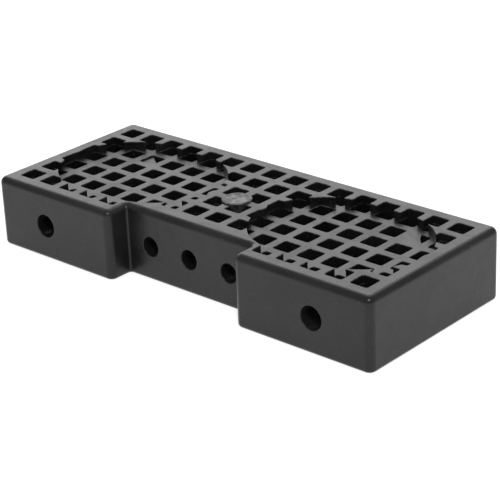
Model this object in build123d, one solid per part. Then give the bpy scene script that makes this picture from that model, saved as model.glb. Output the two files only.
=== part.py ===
from build123d import *
import os

# A flat levelling block for caravans and motorhomes: one thick black plastic moulding with an
# egg-crate deck, two shallow obround recesses, a notch in the front and five cross holes.
# It is modelled as the moulding's own regions, which meet face to face: the decks are the top
# layer, from the floors of the recesses up, and the walls and grids are all below it.
# Millimetres. X runs along the block, Y towards the rear and Z up from the ground.

# Overall block
length = 303.0
width = 123.0
height = 46.7
corner_radius = 4.8          # upright outer corners
notch_corner_radius = 1.5    # upright inner corners at the back of the notch
top_edge_radius = 4.5        # rolled edge round the deck
bottom_edge_radius = 2.5

# Egg-crate: square cells right through, between upright ribs
columns = 16
rows = 6
outer_wall = 10.4
rib = 5.8
cell_corner_radius = 1.2

# Notch in the middle of the front
notch_width = 102.0
notch_depth = 16.5
least_notch_wall = 5.0       # a cell nearer to the notch than this is left out

# Recesses in the deck, one each side of the middle
recess_length = 117.9
recess_width = 85.7
recess_depth = 5.0
recess_offset = 81.45        # from the block's middle to the middle of a recess

# Cross holes through the front, which end at the first rib across their way
hole_height = 22.7
wing_hole_radius = 7.5
wing_hole_offset = 109.0
notch_hole_radius = 6.25
notch_hole_spacing = 32.3

# Disc at the crossing in the middle of the deck
disc_radius = 9.7
disc_rise = 1.0

# Webs that close part of two cells: the cell, the drop below the recess floor, and the two legs
# of the corner that stays open
web_thickness = 4.0
webs = {
    "left_cell_web": {"column": 2, "row": 4, "drop": 1.2, "open_x": 10.4, "open_y": 7.7},
    "right_cell_web": {"column": 14, "row": 4, "drop": 0.0, "open_x": 7.2, "open_y": 9.9},
}

# Columns between the two seams that tell the middle from the sides
middle_columns = 2

# Worked out from the sizes above
pitch_x = (length - 2 * outer_wall + rib) / columns
pitch_y = (width - 2 * outer_wall + rib) / rows
cell_x = pitch_x - rib
cell_y = pitch_y - rib
field_x = columns * pitch_x / 2     # seams beside the outer walls, from the middle
field_y = rows * pitch_y / 2
middle_x = middle_columns * pitch_x / 2
front_y = -width / 2
notch_y = front_y + notch_depth
floor_z = height - recess_depth     # floor of the recesses, and the seam under the decks


def column_x(column):
    return (column - (columns - 1) / 2) * pitch_x


def row_y(row):
    return (row - (rows - 1) / 2) * pitch_y


def clears_notch(column, row):
    beside = abs(column_x(column)) - cell_x / 2 >= notch_width / 2 + least_notch_wall
    behind = row_y(row) - cell_y / 2 >= notch_y + least_notch_wall
    return beside or behind


cells = [(column, row) for column in range(columns) for row in range(rows) if clears_notch(column, row)]
row_behind = min(row for column, row in cells if abs(column_x(column)) < notch_width / 2)
column_beside = max(column for column, row in cells if row == 0 and column_x(column) < 0)
notch_wall_y = row_y(row_behind) - pitch_y / 2            # seam behind the notch
notch_wall_x = -column_x(column_beside) - pitch_x / 2     # seams beside the notch
arc_x = notch_width / 2 - notch_corner_radius             # centre of an inner corner's arc
arc_y = notch_y - notch_corner_radius


def plan_prism(points, bottom, top):
    """An upright prism over a closed outline of straight runs."""
    outline = make_face(Polyline(*points, close=True))
    return Pos(0, 0, bottom) * extrude(outline, top - bottom)


def rectangle_prism(x0, x1, y0, y1, bottom, top):
    return plan_prism([(x0, y0), (x1, y0), (x1, y1), (x0, y1)], bottom, top)


def cell_prism(column, row, bottom, top):
    opening = RectangleRounded(cell_x, cell_y, cell_corner_radius)
    return Pos(column_x(column), row_y(row), bottom) * extrude(opening, top - bottom)


def solid_block():
    """The block's outside: the notched outline with rounded corners and rolled edges."""
    half_x = length / 2
    half_y = width / 2
    half_notch = notch_width / 2
    outline = make_face(Polyline(
        (-half_x, -half_y), (-half_notch, -half_y), (-half_notch, notch_y), (half_notch, notch_y),
        (half_notch, -half_y), (half_x, -half_y), (half_x, half_y), (-half_x, half_y), close=True))
    inner = [corner for corner in outline.vertices() if abs(corner.Y - notch_y) < 0.001]
    outline = fillet(inner, notch_corner_radius)
    outer = [corner for corner in outline.vertices()
             if abs(abs(corner.Y) - half_y) < 0.001 and min(abs(abs(corner.X) - half_x),
                                                            abs(abs(corner.X) - half_notch)) < 0.001]
    outline = fillet(outer, corner_radius)
    block = extrude(outline, height)
    block = fillet(block.faces().sort_by(Axis.Z)[-1].edges(), top_edge_radius)
    return fillet(block.faces().sort_by(Axis.Z)[0].edges(), bottom_edge_radius)


def recess(side):
    """The obround cut in the deck; side is -1 on the left and 1 on the right."""
    outline = SlotOverall(recess_length, recess_width)
    return Pos(side * recess_offset, 0, floor_z) * extrude(outline, recess_depth + disc_rise)


def cross_hole(x, face_y, row, radius):
    """A round hole from a front face to the far side of the given row of cells."""
    end_y = row_y(row) + cell_y / 2
    return Pos(x, (face_y + end_y) / 2, hole_height) * Rot(90, 0, 0) * Cylinder(radius, end_y - face_y)


def cross_holes():
    wing = [cross_hole(side * wing_hole_offset, front_y, 0, wing_hole_radius) for side in (-1, 1)]
    notch = [cross_hole(place * notch_hole_spacing, notch_y, row_behind, notch_hole_radius)
             for place in (-1, 0, 1)]
    return wing + notch


def disc():
    thickness = recess_depth + disc_rise
    return Pos(0, 0, floor_z + thickness / 2) * Cylinder(disc_radius, thickness)


def moulding():
    """The whole plastic part, before it is told apart into regions."""
    openings = [cell_prism(column, row, 0, height) for column, row in cells]
    return solid_block() - openings - [recess(-1), recess(1)] - cross_holes() - disc()


def cell_web(column, row, drop, open_x, open_y):
    """A web across a cell, less the corner at the cell's right and rear."""
    top = floor_z - drop
    bottom = top - web_thickness
    right = column_x(column) + cell_x / 2
    rear = row_y(row) + cell_y / 2
    corner = [(right - open_x, rear), (right, rear - open_y), (right + rib / 2, rear - open_y),
              (right + rib / 2, rear + rib / 2), (right - open_x, rear + rib / 2)]
    return cell_prism(column, row, bottom, top) - plan_prism(corner, bottom, top)


def side_regions(side):
    """The regions of one half, as prisms that cut the moulding apart."""
    def span(x0, x1, y0, y1, bottom=0, top=floor_z):
        return rectangle_prism(min(side * x0, side * x1), max(side * x0, side * x1), y0, y1, bottom, top)

    beside_notch = [(side * notch_wall_x, front_y), (side * notch_wall_x, notch_wall_y),
                    (side * arc_x, arc_y), (side * arc_x, front_y)]
    return {
        "end_wall": span(field_x, length / 2, front_y, width / 2),
        "front_wall": span(notch_wall_x, field_x, front_y, -field_y),
        "notch_side_wall": plan_prism(beside_notch, 0, floor_z),
        "grid": (span(middle_x, field_x, notch_wall_y, field_y)
                 + span(notch_wall_x, field_x, -field_y, notch_wall_y)),
        "deck": span(middle_x, length / 2, front_y, width / 2, floor_z, height),
    }


def middle_regions():
    behind_notch = [(-notch_wall_x, notch_wall_y), (notch_wall_x, notch_wall_y),
                    (arc_x, arc_y), (-arc_x, arc_y)]
    return {
        "rear_wall": rectangle_prism(-field_x, field_x, field_y, width / 2, 0, floor_z),
        "notch_back_wall": plan_prism(behind_notch, 0, floor_z),
        "middle_grid": rectangle_prism(-middle_x, middle_x, notch_wall_y, field_y, 0, floor_z),
        "middle_deck": rectangle_prism(-middle_x, middle_x, front_y, width / 2, floor_z, height),
    }


def nodes():
    whole = moulding()
    regions = middle_regions()
    for name, side in (("left", -1), ("right", 1)):
        regions |= {f"{name}_{region}": prism for region, prism in side_regions(side).items()}
    parts = {name: whole & prism for name, prism in regions.items()}
    parts |= {name: cell_web(**place) for name, place in webs.items()}
    parts["centre_disc"] = disc()
    return parts


os.makedirs("parts", exist_ok=True)
for name, shape in nodes().items():
    solids = shape.solids()
    whole = Compound(label=name, children=list(solids)) if len(solids) > 1 else solids[0]
    export_step(whole, f"parts/{name}.step")
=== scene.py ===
import math
import bpy
import numpy as np
from mathutils import Matrix, Vector
from mathutils.geometry import delaunay_2d_cdt


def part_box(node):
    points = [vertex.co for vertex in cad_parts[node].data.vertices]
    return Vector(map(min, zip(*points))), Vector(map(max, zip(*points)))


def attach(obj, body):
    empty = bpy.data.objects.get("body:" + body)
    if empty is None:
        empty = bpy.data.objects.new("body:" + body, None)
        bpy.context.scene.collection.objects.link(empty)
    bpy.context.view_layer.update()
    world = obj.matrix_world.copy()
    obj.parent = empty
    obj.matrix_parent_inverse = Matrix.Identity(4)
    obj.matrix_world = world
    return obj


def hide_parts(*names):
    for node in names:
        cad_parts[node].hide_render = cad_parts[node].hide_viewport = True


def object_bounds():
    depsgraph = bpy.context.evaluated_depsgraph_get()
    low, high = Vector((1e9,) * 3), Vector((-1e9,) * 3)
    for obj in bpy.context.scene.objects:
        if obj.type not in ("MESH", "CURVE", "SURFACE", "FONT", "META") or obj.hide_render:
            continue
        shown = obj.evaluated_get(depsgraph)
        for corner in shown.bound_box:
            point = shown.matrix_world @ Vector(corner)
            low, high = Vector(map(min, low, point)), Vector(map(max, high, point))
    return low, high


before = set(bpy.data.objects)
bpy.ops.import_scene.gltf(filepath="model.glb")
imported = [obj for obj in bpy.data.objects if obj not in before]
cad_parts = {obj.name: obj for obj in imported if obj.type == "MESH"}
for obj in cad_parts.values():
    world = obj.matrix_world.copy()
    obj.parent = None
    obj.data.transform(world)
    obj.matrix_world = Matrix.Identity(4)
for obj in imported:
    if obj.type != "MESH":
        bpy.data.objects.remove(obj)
cadBounds = [[float(v) for v in corner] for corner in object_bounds()]
print("frame loaded:", len(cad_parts), "nodes")

# Shapes are worked out in millimetres and go into their meshes in metres.
mm = 0.001
blockLow, blockHigh = np.array(cadBounds) / mm
block = {
    "halfLength": blockHigh[0],
    "halfWidth": blockHigh[1],
    "height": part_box("left_deck")[1][2] / mm,
    "floor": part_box("left_deck")[0][2] / mm,    # of the recesses, and underside of the decks
    "cornerRadius": 4.8,         # upright corners of the outline
    "innerRadius": 1.5,          # inner corners of the notch
    "notchHalf": 51.0,           # half the notch's width
    "notchDepth": 16.5,
    "rolledEdge": 4.5,           # radius round the top
    "bottomEdge": 2.5,           # radius round the bottom
    "seam": 18.0,                # from the middle to the seam beside it
}
lattice = {
    "columns": 16,
    "rows": 6,
    "pitch": 18.0,
    "opening": 12.2,
    "cornerRadius": 1.2,
    "notchWall": 5.0,
    "edgeRadius": 0.55,          # broken edge round each opening in a deck
    "floorEdge": 0.4,            # the same on the floors of the recesses
    "sharpAngle": 32,            # edges of the ribs that turn by more are sharp
}
bores = {
    "height": 22.7,
    "wingAt": 109.0,
    "wingRadius": 7.5,
    "notchAt": 32.3,
    "notchRadius": 6.25,
    "mouth": 0.6,                # radius round each hole's front end
    "sides": 56,
}
front = -block["halfWidth"]
notchBack = front + block["notchDepth"]
fieldX = lattice["columns"] * lattice["pitch"] / 2
fieldY = lattice["rows"] * lattice["pitch"] / 2


# Plan curves. Each row of a path is x, y and the direction that points away from the plastic,
# and a path runs with the plastic on its left.
def arc(cx, cy, radius, start, end, count=9):
    # points at even angles round a centre, with the direction from the centre
    turn = np.radians(np.linspace(start, end, count))
    away = np.stack([np.cos(turn), np.sin(turn)], 1)
    return np.hstack([np.array([cx, cy]) + radius * away, away])


def innerArc(*values):
    # the same arc where the plastic is outside it
    return arc(*values) * [1, 1, -1, -1]


def ring(cx, cy, halfX, halfY, radius, count=5):
    # a rectangle with round corners, as four arcs joined by straight runs
    x, y = halfX - radius, halfY - radius
    corners = ((x, -y, -90), (x, y, 0), (-x, y, 90), (-x, -y, 180))
    return np.vstack([arc(cx + dx, cy + dy, radius, a, a + 90, count) for dx, dy, a in corners])


def hole(path):
    # the same closed curve as the edge of an opening
    return path[::-1] * [1, 1, -1, -1]


def evenly(path, spacing):
    # a closed curve's points, spread evenly along its length
    closed = np.vstack([path[:, :2], path[:1, :2]])
    along = np.concatenate([[0], np.cumsum(np.linalg.norm(np.diff(closed, axis=0), axis=1))])
    at = np.linspace(0, along[-1], int(along[-1] / spacing), endpoint=False)
    return np.stack([np.interp(at, along, closed[:, 0]), np.interp(at, along, closed[:, 1])], 1)


# Surfaces. Each is a pair: points with their normals, six numbers a row, and faces as their indices.
def grid(points, closed):
    # quads between neighbouring rows and columns of a grid of points
    rows, columns = points.shape[:2]
    index = np.arange(rows * columns).reshape(rows, columns)
    if closed:
        index = np.hstack([index, index[:, :1]])
    quads = np.stack([index[:-1, :-1], index[:-1, 1:], index[1:, 1:], index[1:, :-1]], -1)
    return points.reshape(-1, 6), quads.reshape(-1, 4)


def upright(bottom, top, bottomRound=0.0, topRound=0.0, steps=4):
    # a wall's profile: inset, height, and the share of its normal that points out and up,
    # as a straight run with a quarter circle at either end
    turn = np.radians(np.linspace(0, 90, steps + 1))
    runs = []
    for z, radius, way in ((bottom, bottomRound, -1), (top, topRound, 1)):
        t = turn if radius else turn[:1]
        rise = z - way * radius * (1 - np.sin(t)) if radius else np.array([z])
        run = np.stack([radius * (1 - np.cos(t)), rise, np.cos(t), way * np.sin(t)], 1)
        runs.append(run[::way])
    return np.vstack(runs)


def sweep(path, profile, closed=True, share=None):
    # the profile carried along the path: each point is the path's, moved in by the profile's inset
    # times the path's share there, and up to the profile's height
    share = np.ones(len(path)) if share is None else share
    shape = (len(profile), len(path), 1)
    out = path[None, :, 2:]
    xy = path[None, :, :2] - (profile[:, :1] * share[None])[..., None] * out
    z = np.broadcast_to(profile[:, 1, None, None], shape)
    up = np.broadcast_to(profile[:, 3, None, None], shape)
    return grid(np.concatenate([xy, z, out * profile[:, 2, None, None], up], 2), closed)


def flat(loops, level, facing, standing=False):
    # the flat face inside the first loop and outside the others, as a Delaunay triangulation of which
    # only the triangles with an odd number of loops round them stay
    nearest, smallestArea = 1e-6, 1e-9
    points = np.vstack([loop[:, :2] for loop in loops])
    starts = np.cumsum([0] + [len(loop) for loop in loops])
    edges = np.vstack([np.stack([np.arange(a, b), np.roll(np.arange(a, b), -1)], 1)
                       for a, b in zip(starts[:-1], starts[1:])])
    found = delaunay_2d_cdt([Vector(p) for p in points.tolist()], edges.tolist(), [], 0, nearest, True)
    origin = np.array([ids[0] for ids in found[3]])
    faces = origin[np.array(found[2])]
    x, y = points[faces].mean(1).T[:, :, None]
    (ax, ay), (bx, by) = points[edges[:, 0]].T, points[edges[:, 1]].T
    with np.errstate(divide="ignore", invalid="ignore"):
        hit = ax + (y - ay) * (bx - ax) / (by - ay)
    faces = faces[(((ay > y) != (by > y)) & (x < hit)).sum(1) % 2 == 1]
    first, second, third = (points[faces[:, n]] for n in range(3))
    (ux, uy), (vx, vy) = (second - first).T, (third - first).T
    area = ux * vy - uy * vx
    faces = faces[np.abs(area) > smallestArea]
    turned = (area[np.abs(area) > smallestArea] < 0) != ((facing < 0) != standing)
    faces[turned] = faces[turned][:, ::-1]
    side = np.full(len(points), float(level))
    zero, one = np.zeros(len(points)), np.full(len(points), float(facing))
    if standing:
        return np.stack([points[:, 0], side, points[:, 1], zero, one, zero], 1), faces
    return np.stack([points[:, 0], points[:, 1], side, zero, zero, one], 1), faces


def facet(points, normal):
    # one flat face through points given in order
    points = np.asarray(points, float)
    normals = np.broadcast_to(np.asarray(normal, float), points.shape)
    return np.hstack([points, normals]), np.arange(len(points))[None]


def lathe(cx, cy, profile, sides):
    # a profile of radius, height and its normal's two shares, turned round an upright axis
    turn = np.linspace(0, 2 * np.pi, sides, endpoint=False)
    away = np.stack([np.cos(turn), np.sin(turn)], 1)
    radius, z, out, up = profile.T[:, :, None]
    xy = np.array([cx, cy]) + radius[..., None] * away
    tall = np.broadcast_to(z, xy.shape[:2])[..., None]
    steep = np.broadcast_to(up, xy.shape[:2])[..., None]
    return grid(np.concatenate([xy, tall, out[..., None] * away, steep], 2), True)


def bore(x, radius, near, far, mouth):
    # a round hole along Y: a circle carried from near to far, with a quarter-round mouth at near
    turn = np.linspace(0, 2 * np.pi, bores["sides"], endpoint=False)
    bend = np.radians(np.linspace(90, 0, 5))
    wide = np.concatenate([radius + mouth * (1 - np.cos(bend)), [radius]])[:, None]
    deep = np.concatenate([near + mouth * (1 - np.sin(bend)), [far]])[:, None] + 0 * turn
    inward = np.concatenate([np.cos(bend), [1]])[:, None]
    outward = np.concatenate([np.sin(bend), [0]])[:, None] + 0 * turn
    points = [x + wide * np.cos(turn), deep, bores["height"] + wide * np.sin(turn),
              -inward * np.cos(turn), -outward, -inward * np.sin(turn)]
    return grid(np.stack(points, -1), True)


def circle(x, radius):
    # a hole's outline in X and Z
    turn = np.linspace(0, 2 * np.pi, bores["sides"], endpoint=False)
    return np.stack([x + radius * np.cos(turn), bores["height"] + radius * np.sin(turn)], 1)


def mirrored(surfaces):
    # the same surfaces on the other side of X = 0
    return [(points * [-1, 1, 1, -1, 1, 1], faces[:, ::-1]) for points, faces in surfaces]


def weld(surfaces):
    # one set of points for all the surfaces: points nearer than a micron are one point, and a quad
    # with two corners on one point is a triangle
    points = np.vstack([p for p, f in surfaces])
    starts = np.cumsum([0] + [len(p) for p, f in surfaces])
    microns, offset = 1000, 0.137    # the offset keeps even sizes off the edge of rounding
    rounded = np.round(points[:, :3] * microns + offset)
    _, first, place = np.unique(rounded, axis=0, return_index=True, return_inverse=True)
    place = place.ravel()
    groups = []
    for (_, faces), start in zip(surfaces, starts):
        faces = faces + start
        same = place[faces] == place[np.roll(faces, -1, axis=1)]
        groups.append(faces[~same.any(1)])
        if faces.shape[1] == 4:
            once = same.sum(1) == 1
            kept = np.argsort(same[once], axis=1, kind="stable")[:, :3]
            groups.append(np.take_along_axis(faces[once], np.sort(kept, axis=1), 1))
    return points, points[first, :3], place, [g for g in groups if len(g)]


def makeMesh(name, surfaces):
    points, welded, place, groups = weld(surfaces)
    corners = np.concatenate([g.ravel() for g in groups])
    sizes = np.concatenate([np.full(len(g), g.shape[1]) for g in groups])
    mesh = bpy.data.meshes.new(name)
    mesh.vertices.add(len(welded))
    mesh.vertices.foreach_set("co", (welded * mm).ravel())
    mesh.loops.add(len(corners))
    mesh.loops.foreach_set("vertex_index", place[corners].astype(np.int32))
    mesh.polygons.add(len(sizes))
    mesh.polygons.foreach_set("loop_start", (np.cumsum(sizes) - sizes).astype(np.int32))
    mesh.polygons.foreach_set("use_smooth", np.ones(len(sizes), bool))
    mesh.update(calc_edges=True)
    if mesh.validate(verbose=True):
        print("  mended:", name)
    return mesh, points[corners, 3:]


def finishPiece(name, mesh, material, nodes):
    piece = bpy.data.objects.new(name, mesh)
    bpy.context.scene.collection.objects.link(piece)
    mesh.materials.clear()
    mesh.materials.append(material)
    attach(piece, "root")
    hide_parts(*nodes)
    return piece


def addPiece(name, surfaces, material, *nodes):
    mesh, normals = makeMesh(name, surfaces)
    if len(normals) == len(mesh.loops):
        mesh.normals_split_custom_set(normals.tolist())
    finishPiece(name, mesh, material, nodes)


# Shader sums: a Signal is a socket, and an expression on Signals adds Math nodes.
class Signal:
    def __init__(self, tree, socket):
        self.tree, self.socket = tree, socket

    def maths(self, operation, *values):
        return addNode(self.tree, "ShaderNodeMath", {"operation": operation}, dict(enumerate(values)))

    def __add__(self, other):
        return self.maths("ADD", self, other)

    def __sub__(self, other):
        return self.maths("SUBTRACT", self, other)

    def __rsub__(self, other):
        return self.maths("SUBTRACT", other, self)

    def __mul__(self, other):
        return self.maths("MULTIPLY", self, other)

    __radd__, __rmul__ = __add__, __mul__

    def between(self, low, high):
        # 0 at low and 1 at high, with a smooth turn at both
        inputs = {"Value": self, "From Min": low, "From Max": high}
        return addNode(self.tree, "ShaderNodeMapRange", {"interpolation_type": "SMOOTHSTEP"}, inputs)


def addNode(tree, kind, settings=None, inputs=None, output=0):
    # the settings are set first, then the values or links of the sockets
    node = tree.nodes.new(kind)
    for key, value in (settings or {}).items():
        setattr(node, key, value)
    for key, value in (inputs or {}).items():
        if isinstance(value, Signal):
            tree.links.new(value.socket, node.inputs[key])
        else:
            node.inputs[key].default_value = value
    return Signal(tree, node.outputs[output])


def noise(tree, place, scale, detail=2.0, roughness=0.5, twist=0.0):
    inputs = {"Vector": place, "Scale": scale, "Detail": detail, "Roughness": roughness,
              "Distortion": twist}
    return addNode(tree, "ShaderNodeTexNoise", {}, inputs)


def mixColour(tree, factor, a, b):
    return addNode(tree, "ShaderNodeMix", {"data_type": "RGBA"}, {"Factor": factor, "A": a, "B": b}, 2)


# where the edge band of wear and painted highlight shows, in metres: each pair is the start and end of
# a smooth change
wearAndSheenField = {
    "end": (0.1442, 0.1446),
    "side": (0.0542, 0.0546),
    "wing": (0.0565, 0.0569),
    "notchBack": (-0.0388, -0.0384),
}


def blackPlastic(name, look):
    # black plastic: tone and gloss change with clouds, flow lines, grain and specks, and the broken
    # edges are painted lighter, partly as wear and partly as a painted highlight of their rounded edges
    material = bpy.data.materials.new(name)
    material.use_nodes = True
    tree = material.node_tree
    shader = tree.nodes["Principled BSDF"]
    place = addNode(tree, "ShaderNodeTexCoord", output=3)
    cloud = noise(tree, place, look["cloudScale"], 3.0).between(0.3, 0.7)
    flow = noise(tree, place, look["flowScale"], 2.0, 0.5, look["flowTwist"]).between(0.42, 0.62)
    grain = noise(tree, place, look["grainScale"], 3.0, 0.6)
    speck = noise(tree, place, look["speckScale"], 1.0).between(0.7, 0.78)
    tone = mixColour(tree, cloud, look["dark"], look["light"])
    tone = mixColour(tree, speck * look["speckStrength"], tone, look["speck"])
    rough = look["roughness"] + (cloud - 0.5) * look["cloudRoughness"]
    rough = rough + (flow - 0.5) * look["flowRoughness"]
    rough = rough + (grain - 0.5) * look["grainRoughness"]
    across, along, height = [addNode(tree, "ShaderNodeSeparateXYZ", {}, {"Vector": place}, n)
                             for n in range(3)]
    sideways = across.maths("ABSOLUTE", across)
    field = 1 - sideways.between(*wearAndSheenField["end"])
    field = field * (1 - along.maths("ABSOLUTE", along).between(*wearAndSheenField["side"]))
    beside = sideways.between(*wearAndSheenField["wing"])
    behind = along.between(*wearAndSheenField["notchBack"])
    field = field * beside.maths("MAXIMUM", beside, behind)
    for level in look["wearAndSheenLevels"]:
        # the broken edges lie in a narrow band of heights under each flat face, and there they are
        # painted lighter: partly wear, partly a painted highlight of the rounded edge
        under = height.between((level - 0.6) * mm, (level - 0.2) * mm)
        over = height.between((level - 0.08) * mm, (level - 0.01) * mm)
        patchy = noise(tree, place, look["wearAndSheenScale"], 3.0, 0.7).between(0.4, 0.62)
        wearAndSheen = under * (1 - over) * patchy * field
        tone = mixColour(tree, wearAndSheen, tone, look["wearAndSheen"])
        rough = rough + wearAndSheen * look["wearAndSheenRoughness"]
    tree.links.new(tone.socket, shader.inputs["Base Color"])
    tree.links.new(rough.socket, shader.inputs["Roughness"])
    bump = addNode(tree, "ShaderNodeBump", {}, {"Strength": 1.0, "Distance": look["grainDepth"],
                                                "Height": grain + flow * look["flowHeight"]})
    tree.links.new(bump.socket, shader.inputs["Normal"])
    shader.inputs["Specular IOR Level"].default_value = look["specular"]
    return material


plastic = {
    "dark": (0.006, 0.006, 0.0063, 1),
    "light": (0.012, 0.012, 0.0124, 1),
    "speck": (0.1, 0.1, 0.1, 1),
    "speckStrength": 0.4,
    "speckScale": 900,
    "cloudScale": 24,
    "cloudRoughness": 0.06,
    "flowScale": 55,
    "flowTwist": 1.6,
    "flowRoughness": 0.07,
    "flowHeight": 0.6,
    "grainScale": 1500,
    "grainRoughness": 0.12,
    "grainDepth": 0.00003,
    "roughness": 0.33,
    "specular": 0.34,
    "wearAndSheenLevels": (),
    "wearAndSheenScale": 260,
    # lighter colour of the broken edges: partly wear, partly a painted highlight on the rounded rib
    # ends
    "wearAndSheen": (0.1, 0.1, 0.1, 1),
    "wearAndSheenRoughness": 0.1,
}
wallPlastic = blackPlastic("wallPlastic", plastic)
deckPlastic = blackPlastic("deckPlastic", {**plastic, "wearAndSheenLevels": (block["height"], block["floor"])})
print("wall and deck materials made")

# Openings of the lattice: their centres, and which of them the notch leaves out
column, row = np.meshgrid(np.arange(lattice["columns"]), np.arange(lattice["rows"]), indexing="ij")
centres = np.stack([(column - (lattice["columns"] - 1) / 2) * lattice["pitch"],
                    (row - (lattice["rows"] - 1) / 2) * lattice["pitch"]], -1).reshape(-1, 2)
halfCell = lattice["opening"] / 2
clear = ((np.abs(centres[:, 0]) - halfCell >= block["notchHalf"] + lattice["notchWall"])
         | (centres[:, 1] - halfCell >= notchBack + lattice["notchWall"]))
centres = centres[clear]


def cellRing(centre):
    return ring(*centre, halfCell, halfCell, lattice["cornerRadius"])


def cellDistance(points, cells):
    # how far a point is outside the nearest of the rounded squares, and less than 0 inside
    beyond = np.abs(points[:, None] - cells[None]) - (halfCell - lattice["cornerRadius"])
    out = np.linalg.norm(np.maximum(beyond, 0), axis=2) + np.minimum(beyond.max(2), 0)
    return (out - lattice["cornerRadius"]).min(1)


def slotDistance(points, slot):
    # how far a point is outside a slot with round ends, or a circle if its run is 0
    dx = points[:, 0] - slot["x"]
    return np.hypot(dx - np.clip(dx, -slot["run"], slot["run"]), points[:, 1]) - slot["radius"]


def slotRing(slot, count=181):
    # two half circles, joined by straight runs
    return np.vstack([arc(slot["x"] + slot["run"], 0, slot["radius"], -90, 90, count),
                      arc(slot["x"] - slot["run"], 0, slot["radius"], 90, 270, count)])


# How a slot's edge and the cells that it cuts are joined, in millimetres
joining = {
    "step": 0.1,                 # between points while the edge is worked out
    "reach": 60,                 # steps either way in the running average
    "fadeAt": 1.6,               # the average fades out between 0.6 and 1.6 runs from a rib's end
    "fadeRun": 2.2,              # one run, in blends
    "window": 12,                # steps either way in which the sharpest turn counts
    "edgeShare": 0.5,            # of the radius that a rib's end has
    "leastShare": 0.05,          # of the broken edge's width
    "leastTurn": 0.01,           # per millimetre, for straight stretches
    "turn": 10,                  # degrees from point to point at most
    "run": 6,                    # and millimetres
}


def joinedEdge(slot):
    # the edge of a slot together with the cells that it cuts: along the slot on the ribs and round each
    # cut cell between, with a running average, a bell in its weights, that rounds the ends of the ribs
    # and fades out away from them
    reach = [slotDistance(cellRing(c), slot) for c in centres]
    cut = np.array([r.min() < 0 < r.max() for r in reach])
    cells = centres[cut]
    track = evenly(slotRing(slot), joining["step"])
    inCell = cellDistance(track, cells) < 0
    track = np.roll(track, -int(np.argmin(inCell)), axis=0)
    inCell = cellDistance(track, cells) < 0
    turns = np.flatnonzero(np.diff(inCell.astype(int))) + 1
    bounds = [0, *turns.tolist(), len(track)]
    chain, ends = [], []
    for begin, end in zip(bounds[:-1], bounds[1:]):
        if not inCell[begin]:
            chain.append(track[begin:end])
            continue
        cell = cells[np.argmin(np.linalg.norm(cells - track[(begin + end) // 2], axis=1))]
        around = evenly(cellRing(cell), joining["step"])
        nearest = np.argmin(np.linalg.norm(around - track[begin], axis=1))
        around = np.roll(around, -int(nearest), axis=0)
        beyond = slotDistance(around, slot) > 0
        first = int(np.argmax(beyond))
        chain.append(around[first:first + int(np.argmin(beyond[first:]))])
        ends += [chain[-1][0], chain[-1][-1]]
    points = evenly(np.vstack(chain), joining["step"])
    apart = np.linalg.norm(points[:, None] - np.array(ends)[None], axis=2).min(1)
    fade = np.clip(joining["fadeAt"] - apart / (joining["fadeRun"] * slot["blend"]), 0, 1)[:, None]
    fade = fade * fade * (3 - 2 * fade)
    offsets = np.arange(-joining["reach"], joining["reach"] + 1)
    weights = np.exp(-0.5 * (offsets * joining["step"] / slot["blend"]) ** 2)
    weights = weights / weights.sum()
    averaged = sum(w * np.roll(points, int(n), axis=0) for n, w in zip(offsets, weights))
    points = points + fade * (averaged - points)
    onward = np.roll(points, -2, axis=0) - np.roll(points, 2, axis=0)
    out = np.stack([onward[:, 1], -onward[:, 0]], 1) / np.linalg.norm(onward, axis=1)[:, None]
    after = np.roll(out, -1, axis=0)
    bend = np.arcsin(np.clip(out[:, 0] * after[:, 1] - out[:, 1] * after[:, 0], -1, 1))
    step = np.linalg.norm(np.roll(points, -1, axis=0) - points, axis=1)
    # the broken edge is narrower where an end of a rib is sharper than it
    tight = np.maximum(-bend, 0) / step
    window = range(-joining["window"], joining["window"] + 1)
    tightest = np.maximum(np.max([np.roll(tight, n) for n in window], axis=0), joining["leastTurn"])
    share = np.clip(joining["edgeShare"] / tightest / lattice["edgeRadius"], joining["leastShare"], 1)
    share = np.mean([np.roll(share, n) for n in window], axis=0)
    # fewer points: one for each few degrees of turn or few millimetres of run
    cost = np.cumsum(np.abs(bend) / math.radians(joining["turn"]) + step / joining["run"])
    keep = np.unique(np.searchsorted(cost, np.arange(0, cost[-1])))
    keep = keep[keep < len(points)]
    return (hole(np.hstack([points, out])[keep]), share[keep][::-1]), cut


def seamFace(paths, profile, x, facing):
    # the flat end of a deck, where each path starts or ends on the seam
    rise = [np.column_stack([np.full(len(profile), x), y - profile[:, 0] * out, profile[:, 1]])
            for y, out in paths]
    outline = np.vstack([rise[0], rise[1][::-1]])
    return facet(outline[::-1] if facing > 0 else outline, (facing, 0, 0))


# run: from the middle to the centre of either round end; blend: spread of the running average
recess = {"x": -81.45, "run": (117.9 - 85.7) / 2, "radius": 85.7 / 2, "blend": 1.1}
seat = {"x": 0.0, "run": 0.0, "radius": 9.7, "blend": 0.5}
top, floor = block["height"], block["floor"]
rolled = upright(floor, top, 0, block["rolledEdge"], 8)
opened = upright(floor, top, 0, lattice["edgeRadius"])


def deckSurfaces(rims, seams, openings):
    # a deck: its rolled rim, its ends at the seams, the walls of its openings, and two flat faces
    surfaces = [sweep(rim, rolled, False) for rim in rims] + [seamFace(*seam) for seam in seams]
    surfaces += [sweep(path, opened, True, share) for path, share in openings]
    rim = np.vstack(rims)
    loops = [rim[:, :2] - block["rolledEdge"] * rim[:, 2:]]
    loops += [path[:, :2] - lattice["edgeRadius"] * share[:, None] * path[:, 2:]
              for path, share in openings]
    surfaces.append(flat(loops, top, 1))
    surfaces.append(flat([rim] + [path for path, share in openings], floor, -1))
    return surfaces


def evenEdge(path):
    # the whole broken edge all round
    return path, np.ones(len(path))


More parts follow.
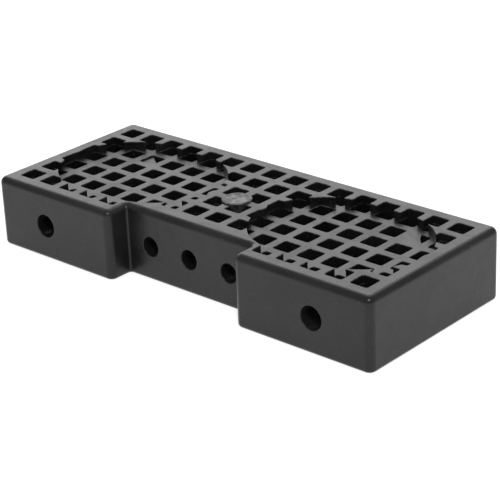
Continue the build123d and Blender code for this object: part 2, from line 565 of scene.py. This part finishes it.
def mainOutline():
    # the left half of the block's outline, from the rear seam round to the seam behind the notch
    r, x, y, h = block["cornerRadius"], block["halfLength"], block["halfWidth"], block["notchHalf"]
    i = block["innerRadius"]
    return np.vstack([
        [[-block["seam"], y, 0, 1]],
        arc(-x + r, y - r, r, 90, 180),
        arc(-x + r, -y + r, r, 180, 270),
        arc(-h - r, -y + r, r, -90, 0),
        innerArc(-h + i, notchBack - i, i, 180, 90),
        [[-block["seam"], notchBack, 0, -1]]])


def besideRim(edge, rim):
    # the broken edge also narrows to the room that the rolled rim leaves it
    path, share = edge
    spacing, taken = 0.5, 0.3
    inner = evenly(rim[:, :2] - block["rolledEdge"] * rim[:, 2:], spacing)
    room = np.linalg.norm(path[:, None, :2] - inner[None], axis=2).min(1)
    return path, np.minimum(share, taken * room / lattice["edgeRadius"])


sideSeam, halfWidth = block["seam"], block["halfWidth"]
recessEdge, cut = joinedEdge(recess)
recessEdge = besideRim(recessEdge, mainOutline())
whole = ~cut & (np.array([slotDistance(cellRing(c), recess).min() for c in centres]) > 0)
sideCells = [evenEdge(hole(cellRing(c))) for c in centres[whole & (centres[:, 0] < -sideSeam)]]
ends = [(notchBack, -1), (halfWidth, 1)]
leftDeck = deckSurfaces([mainOutline()], [(ends, rolled, -sideSeam, 1)], sideCells + [recessEdge])
addPiece("leftDeck", leftDeck, deckPlastic, "left_deck")
addPiece("rightDeck", mirrored(leftDeck), deckPlastic, "right_deck")

seatEdge, cut = joinedEdge(seat)
middleCells = [evenEdge(hole(cellRing(c))) for c in centres[~cut & (np.abs(centres[:, 0]) < sideSeam)]]
rearRim = np.array([[sideSeam, halfWidth, 0, 1], [-sideSeam, halfWidth, 0, 1]])
frontRim = np.array([[-sideSeam, notchBack, 0, -1], [sideSeam, notchBack, 0, -1]])
middleEnds = [(ends, rolled, sideSeam, 1), (ends, rolled, -sideSeam, -1)]
middleDeck = deckSurfaces([rearRim, frontRim], middleEnds, middleCells + [seatEdge])
addPiece("middleDeck", middleDeck, deckPlastic, "middle_deck")
print("decks made:", len(recessEdge[0]), "points round a recess")


# Walls under the decks: an upright profile along a stretch of the outline, closed by flat faces
def wallSurfaces(outer, inner, holes=(), radius=0.0, faceX=None):
    wall = upright(0, floor, block["bottomEdge"], steps=6)
    points, quads = sweep(outer, wall, False)
    surfaces = []
    if holes:
        # the straight front of the wall, which the holes go through, is a face of its own
        near = outer[np.argmin(np.abs(outer[:, 0] - faceX[0])), 1]
        first = int(np.argmin(np.abs(outer[:-1, 0] - faceX[0]) + np.abs(outer[1:, 0] - faceX[1])))
        band = (len(wall) - 2) * (len(outer) - 1) + first
        quads = np.delete(quads, band, axis=0)
        low = block["bottomEdge"]
        panel = np.array([[faceX[0], low], [faceX[1], low], [faceX[1], floor], [faceX[0], floor]])
        mouths = [circle(x, radius + bores["mouth"]) for x in holes]
        surfaces.append(flat([panel] + mouths, near, -1, True))
        far = inner[0][1]
        back = np.array([[inner[1][0], 0], [inner[0][0], 0], [inner[0][0], floor],
                         [inner[1][0], floor]])
        surfaces.append(flat([back] + [circle(x, radius) for x in holes], far, 1, True))
        surfaces += [bore(x, radius, near, far, bores["mouth"]) for x in holes]
    surfaces.append((points, quads))
    # the seams: from the stretch's end, round the inner points, to its start
    for corner, other, ending in ((outer[-1], inner[0], True), (outer[0], inner[-1], False)):
        edge = np.column_stack([corner[:2] - wall[:, :1] * corner[2:], wall[:, 1]])
        across = np.array([other[0] - corner[0], other[1] - corner[1]])
        away = np.array([-across[1], across[0]]) / np.linalg.norm(across)
        outline = np.vstack([edge, [[*other, floor], [*other, 0]]])
        away = -away if ending else away
        surfaces.append(facet(outline[::-1] if ending else outline, (*away, 0)))
    if not holes:
        for a, b in zip(inner[:-1], inner[1:]):
            away = np.array([b[1] - a[1], a[0] - b[0]])
            away = away / np.linalg.norm(away)
            surfaces.append(facet([[*a, 0], [*b, 0], [*b, floor], [*a, floor]], (*away, 0)))
    bottomLoop = np.vstack([outer[:, :2] - block["bottomEdge"] * outer[:, 2:], inner])
    topLoop = np.vstack([outer[:, :2], inner])
    return surfaces + [flat([topLoop], floor, 1), flat([bottomLoop], 0, -1)]


r, x, y, h = block["cornerRadius"], block["halfLength"], block["halfWidth"], block["notchHalf"]
i = block["innerRadius"]
wallX = 54.0        # the seam beside the notch
wallY = -36.0       # the seam behind it
# where the two seams cross the corners, as angles of their arcs
mouthCut = -math.degrees(math.acos((h + r - wallX) / r))
backCut = math.degrees(math.atan2(wallY - notchBack + i, -wallX + h - i))
rearWall = wallSurfaces(np.array([[fieldX, y, 0, 1], [-fieldX, y, 0, 1]]),
                        [[-fieldX, fieldY], [fieldX, fieldY]])
endWall = wallSurfaces(np.vstack([[[-fieldX, y, 0, 1]], arc(-x + r, y - r, r, 90, 180),
                                  arc(-x + r, -y + r, r, 180, 270), [[-fieldX, -y, 0, -1]]]),
                       [[-fieldX, -fieldY], [-fieldX, fieldY]])
frontWall = wallSurfaces(np.vstack([[[-fieldX, -y, 0, -1]], arc(-h - r, -y + r, r, -90, mouthCut)]),
                         [[-wallX, -fieldY], [-fieldX, -fieldY]],
                         [-bores["wingAt"]], bores["wingRadius"], (-fieldX, -h - r))
sideWall = wallSurfaces(np.vstack([arc(-h - r, -y + r, r, mouthCut, 0),
                                   innerArc(-h + i, notchBack - i, i, 180, backCut)]),
                        [[-wallX, wallY], [-wallX, -fieldY]])
corner = innerArc(-h + i, notchBack - i, i, backCut, 90)
backWall = wallSurfaces(np.vstack([corner, corner[::-1] * [-1, 1, -1, 1]]),
                        [[wallX, wallY], [-wallX, wallY]],
                        [-bores["notchAt"], 0.0, bores["notchAt"]], bores["notchRadius"],
                        (-h + i, h - i))
addPiece("rearWall", rearWall, wallPlastic, "rear_wall")
addPiece("notchBackWall", backWall, wallPlastic, "notch_back_wall")
sideWalls = (("EndWall", "end_wall", endWall), ("FrontWall", "front_wall", frontWall),
             ("NotchSideWall", "notch_side_wall", sideWall))
for label, node, surfaces in sideWalls:
    addPiece("left" + label, surfaces, wallPlastic, "left_" + node)
    addPiece("right" + label, mirrored(surfaces), wallPlastic, "right_" + node)
print("walls made")


# the cell whose web is level with the recess floor, and where its open corner starts
flushWeb = {"cell": (117.0, 27.0), "openFrom": 5.5}


# Grids under the decks: a tile for each opening, which is the flat ring between the opening and the
# tile's square, and the opening's wall between two such rings
def gridSurfaces(cells):
    near = 0.01
    unit = cellRing((0, 0))
    square = unit[:, :2] * (lattice["pitch"] / 2 / np.abs(unit[:, :2]).max(1))[:, None]
    wall = upright(0, floor, lattice["floorEdge"], lattice["floorEdge"])
    surfaces = []
    for cell in cells:
        path = hole(unit + [*cell, 0, 0])
        inRecess = np.clip(0.5 - slotDistance(path[:, :2] * [-np.sign(cell[0]), 1], recess), 0, 1)
        if np.allclose(cell, flushWeb["cell"]):
            # the web is level with the floor here, so only the open corner has an edge
            inRecess = inRecess * ((path[:, :2] - cell).sum(1) > flushWeb["openFrom"])
        inner = path[:, :2] - (lattice["floorEdge"] * inRecess)[:, None] * path[:, 2:]
        edge = square[::-1] + cell
        shares = np.where(wall[:, 3:] > 0, inRecess, 1.0)
        points, quads = sweep(path, wall)
        out = path[None, :, 2:]
        points = points.reshape(len(wall), len(path), 6).copy()
        points[..., :2] = path[None, :, :2] - (wall[:, :1] * shares)[..., None] * out
        surfaces.append((points.reshape(-1, 6), quads))
        level = np.array([0, 0, floor, 0, 0, 1.0])
        rings = np.zeros((2, len(path), 6))
        rings[0, :, :2], rings[1, :, :2] = inner, edge
        surfaces.append(grid(rings + level, True))
        below = rings.copy()
        below[0, :, :2] = path[:, :2] - lattice["floorEdge"] * path[:, 2:]
        points, quads = grid(below - [0, 0, 0, 0, 0, 1.0], True)
        surfaces.append((points, quads[:, ::-1]))
        # the tile's sides that no other tile shares
        following = np.roll(edge, -1, axis=0)
        middle = (edge + following) / 2
        atSide = np.abs(middle - cell) > lattice["pitch"] / 2 - near
        ways = np.where(atSide, np.sign(middle - cell), 0)
        neighbour = cell + ways * lattice["pitch"]
        shared = (np.abs(neighbour[:, None] - cells[None]).max(2) < near).any(1)
        a, b = edge[~shared], following[~shared]
        low, high = np.zeros(len(a)), np.full(len(a), floor)
        quad = np.stack([np.column_stack([a, low]), np.column_stack([b, low]),
                         np.column_stack([b, high]), np.column_stack([a, high])], 1)
        normal = np.concatenate([ways[~shared], np.zeros((len(a), 1))], 1)
        normal = np.broadcast_to(normal[:, None], quad.shape)
        points = np.concatenate([quad, normal], 2).reshape(-1, 6)
        surfaces.append((points, np.arange(len(points)).reshape(-1, 4)[:, ::-1]))
    return surfaces


def boreCutter(name, x, radius, near, far):
    # a closed cylinder along Y that takes a hole out of the ribs
    turn = np.linspace(0, 2 * np.pi, bores["sides"], endpoint=False)
    rows = [(0, near), (radius, near), (radius, far), (0, far)]
    none = 0 * turn
    points = np.stack([np.stack([x + r * np.cos(turn), none + depth, bores["height"] + r * np.sin(turn),
                                 none, none, none], -1) for r, depth in rows])
    surface, quads = grid(points, True)
    mesh, _ = makeMesh(name, [(surface, quads[:, ::-1])])
    cutter = bpy.data.objects.new(name, mesh)
    bpy.context.scene.collection.objects.link(cutter)
    return cutter


def addGrid(name, cells, holes, node):
    # the tiles, less the holes that cross them
    mesh, _ = makeMesh(name, gridSurfaces(cells))
    piece = bpy.data.objects.new(name + "Work", mesh)
    bpy.context.scene.collection.objects.link(piece)
    cutters = [boreCutter(f"{name}Cutter{n}", *values) for n, values in enumerate(holes)]
    for cutter in cutters:
        cutting = piece.modifiers.new("cut", "BOOLEAN")
        cutting.operation, cutting.object, cutting.solver = "DIFFERENCE", cutter, "EXACT"
    depsgraph = bpy.context.evaluated_depsgraph_get()
    done = bpy.data.meshes.new_from_object(piece.evaluated_get(depsgraph))
    for used in [piece, *cutters]:
        bpy.data.objects.remove(used)
    done.name = name
    done.polygons.foreach_set("use_smooth", np.ones(len(done.polygons), bool))
    done.set_sharp_from_angle(angle=math.radians(lattice["sharpAngle"]))
    finished = finishPiece(name, done, deckPlastic, [node])
    weighted = finished.modifiers.new("weightedNormal", "WEIGHTED_NORMAL")
    weighted.keep_sharp = True


# the holes start in the wall and end at the far side of the first row of cells
pitch = lattice["pitch"]
wingEnd = -2.5 * pitch + halfCell
notchEnd = -1.5 * pitch + halfCell
startPast = 1.0
for side, label in ((-1, "left"), (1, "right")):
    mine = centres[centres[:, 0] * side > sideSeam]
    wingHole = (side * bores["wingAt"], bores["wingRadius"], -fieldY - startPast, wingEnd)
    notchHole = (side * bores["notchAt"], bores["notchRadius"], wallY - startPast, notchEnd)
    addGrid(label + "Grid", mine, [wingHole, notchHole], label + "_grid")
addGrid("middleGrid", centres[np.abs(centres[:, 0]) < sideSeam],
        [(0.0, bores["notchRadius"], wallY - startPast, notchEnd)], "middle_grid")
print("grids made")

disc = {
    "radius": 9.55,              # a little less than its seat, which leaves a fine line round it
    "rise": 1.0,
    "edge": 0.7,
    "rimWidth": 1.6,
    "dish": 0.25,                # how far the middle lies below the rim
    "gateRadius": 1.3,
    "gateRise": 0.2,
    "sides": 96,
}


def discProfile():
    # out along the underside, up the side, over the rounded edge, across the rim, and in to the middle,
    # whose height is a smooth step down from the rim and a small bell at the gate
    radius, edge, high = disc["radius"], disc["edge"], block["height"] + disc["rise"]
    bend = np.radians(np.linspace(0, 90, 7))
    inner = np.linspace(radius - edge, 0, 40)[1:]
    inward = np.clip((radius - edge - disc["rimWidth"] * 0.5 - inner) / disc["rimWidth"], 0, 1)
    step = inward * inward * (3 - 2 * inward)
    bell = np.exp(-(inner / disc["gateRadius"]) ** 2)
    z = high - disc["dish"] * step + disc["gateRise"] * bell
    fall = np.gradient(z, inner)
    size = np.hypot(1, fall)
    under = np.array([[0, floor, 0, -1], [radius, floor, 0, -1]])
    side = np.array([[radius, floor, 1, 0]])
    rounded = np.stack([radius - edge * (1 - np.cos(bend)), high - edge * (1 - np.sin(bend)),
                        np.cos(bend), np.sin(bend)], 1)
    return under, np.vstack([side, rounded, np.stack([inner, z, -fall / size, 1 / size], 1)])


discPlastic = blackPlastic("discPlastic", {
    **plastic,
    "light": (0.042, 0.042, 0.043, 1),
    "cloudScale": 330,
    "cloudRoughness": 0.24,
    "roughness": 0.42,
    # the disc's rounded rim is painted lighter in the edge band, a painted highlight standing in for
    # the catch light along it
    "wearAndSheen": (0.2, 0.2, 0.2, 1),
    "wearAndSheenLevels": (block["height"] + disc["rise"],),
})
under, over = discProfile()
addPiece("centreDisc", [lathe(0, 0, under, disc["sides"]), lathe(0, 0, over, disc["sides"])],
         discPlastic, "centre_disc")

# openX and openY: how far the open corner runs along the cell's rear and right sides
webs = {
    "leftCellWeb": {"node": "left_cell_web", "openX": 10.4, "openY": 7.7, "sag": 0.4},
    "rightCellWeb": {"node": "right_cell_web", "openX": 7.2, "openY": 9.9, "sag": 0.7},
}


def webSurfaces(low, high, web):
    # the cell's outline, with its right rear corner replaced by a shallow arc that curves into the web
    edge, near = 0.5, 0.01
    centre = (low[:2] + high[:2]) / 2
    unit = cellRing(centre)
    right, rear = centre + halfCell
    t = np.linspace(0, 1, 13)[:, None]
    begin, end = np.array([right, rear - web["openY"]]), np.array([right - web["openX"], rear])
    across = end - begin
    away = np.array([across[1], -across[0]]) / np.linalg.norm(across)
    bow = begin + t * across - web["sag"] * 4 * t * (1 - t) * away
    lean = away + (1 - 2 * t) * web["sag"] * 4 * across / (across @ across)
    free = np.hstack([bow, lean / np.linalg.norm(lean, axis=1)[:, None]])
    kept = unit[(unit[:, 0] < right - web["openX"] + near) | (unit[:, 1] < rear - web["openY"] + near)]
    start = int(np.argmin(np.linalg.norm(kept[:, :2] - end, axis=1)))
    kept = np.roll(kept, -start, axis=0)
    path = np.vstack([free, kept])
    share = np.concatenate([np.ones(len(free)), np.zeros(len(kept))])
    surfaces = [sweep(path, upright(low[2], high[2], edge, edge), True, share)]
    loop = path[:, :2] - edge * share[:, None] * path[:, 2:]
    return surfaces + [flat([loop], high[2], 1), flat([loop], low[2], -1)]


for name, web in webs.items():
    low, high = [np.array(v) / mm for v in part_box(web["node"])]
    addPiece(name, webSurfaces(low, high, web), deckPlastic, web["node"])
print("disc and webs made")

stage = {
    "floorSize": 8.0,
    "floorTone": (0.5, 0.5, 0.5, 1),
    "floorRoughness": 0.9,
    "floorSpecular": 0.1,
    "floorGlow": 0.78,           # the floor's own light, which keeps it pale under the block
    "worldTone": (1, 1, 1, 1),
    "worldStrength": 0.5,
}
mesh = bpy.data.meshes.new("studioFloor")
s = stage["floorSize"] / 2
mesh.from_pydata([(-s, -s, 0), (s, -s, 0), (s, s, 0), (-s, s, 0)], [], [(0, 1, 2, 3)])
studioFloor = bpy.data.objects.new("studioFloor", mesh)
bpy.context.scene.collection.objects.link(studioFloor)
floorMaterial = bpy.data.materials.new("studioFloor")
floorMaterial.use_nodes = True
floorShader = floorMaterial.node_tree.nodes["Principled BSDF"]
floorShader.inputs["Base Color"].default_value = stage["floorTone"]
floorShader.inputs["Roughness"].default_value = stage["floorRoughness"]
floorShader.inputs["Specular IOR Level"].default_value = stage["floorSpecular"]
floorShader.inputs["Emission Color"].default_value = stage["worldTone"]
floorShader.inputs["Emission Strength"].default_value = stage["floorGlow"]
mesh.materials.append(floorMaterial)

world = bpy.data.worlds.new("studio")
world.use_nodes = True
background = world.node_tree.nodes["Background"]
background.inputs["Color"].default_value = stage["worldTone"]
background.inputs["Strength"].default_value = stage["worldStrength"]
bpy.context.scene.world = world

lights = {
    "backPanel": {"at": (-1.15, 1.25, 0.8), "width": 2.4, "tall": 1.2, "power": 14.5},
    "topLight": {"at": (-0.35, 0.75, 1.3), "width": 1.2, "tall": 1.2, "power": 5},
    "glint": {"at": (0.66, -0.6, 0.95), "width": 0.12, "tall": 0.12, "power": 5},
}
for name, light in lights.items():
    data = bpy.data.lights.new(name, "AREA")
    data.shape, data.energy = "RECTANGLE", light["power"]
    data.size, data.size_y = light["width"], light["tall"]
    lamp = bpy.data.objects.new(name, data)
    turned = (-Vector(light["at"])).to_track_quat("-Z", "Y").to_matrix().to_4x4()
    lamp.matrix_world = Matrix.Translation(light["at"]) @ turned
    lamp.visible_camera = False
    bpy.context.scene.collection.objects.link(lamp)

view = {
    "azimuth": 42.636,
    "elevation": 24.2,
    "roll": -2.573,
    "at": (0.69295, -0.74475, 0.46964),
    "sensor": 36,
    "lens": 129.458,
    "shiftX": 0.00417,
    "shiftY": 0.00063,
    "nearest": 0.01,
}


def cameraPose(azimuth, elevation, roll, at):
    # back points from the object to the camera, right is level, and both turn by the roll
    a, e, t = (math.radians(v) for v in (azimuth, elevation, roll))
    back = Vector((math.sin(a) * math.cos(e), -math.cos(a) * math.cos(e), math.sin(e)))
    right = Vector((math.cos(a), math.sin(a), 0))
    up = back.cross(right)
    across = math.cos(t) * right + math.sin(t) * up
    above = math.cos(t) * up - math.sin(t) * right
    return Matrix.Translation(at) @ Matrix((across, above, back)).transposed().to_4x4()


camera = bpy.data.objects.new("camera", bpy.data.cameras.new("camera"))
bpy.context.scene.collection.objects.link(camera)
camera.matrix_world = cameraPose(view["azimuth"], view["elevation"], view["roll"], view["at"])
camera.data.sensor_width, camera.data.lens = view["sensor"], view["lens"]
camera.data.shift_x, camera.data.shift_y = view["shiftX"], view["shiftY"]
camera.data.clip_start = view["nearest"]
bpy.context.scene.camera = camera
bpy.context.scene.view_settings.view_transform = "Standard"
print("stage, lights and camera made")
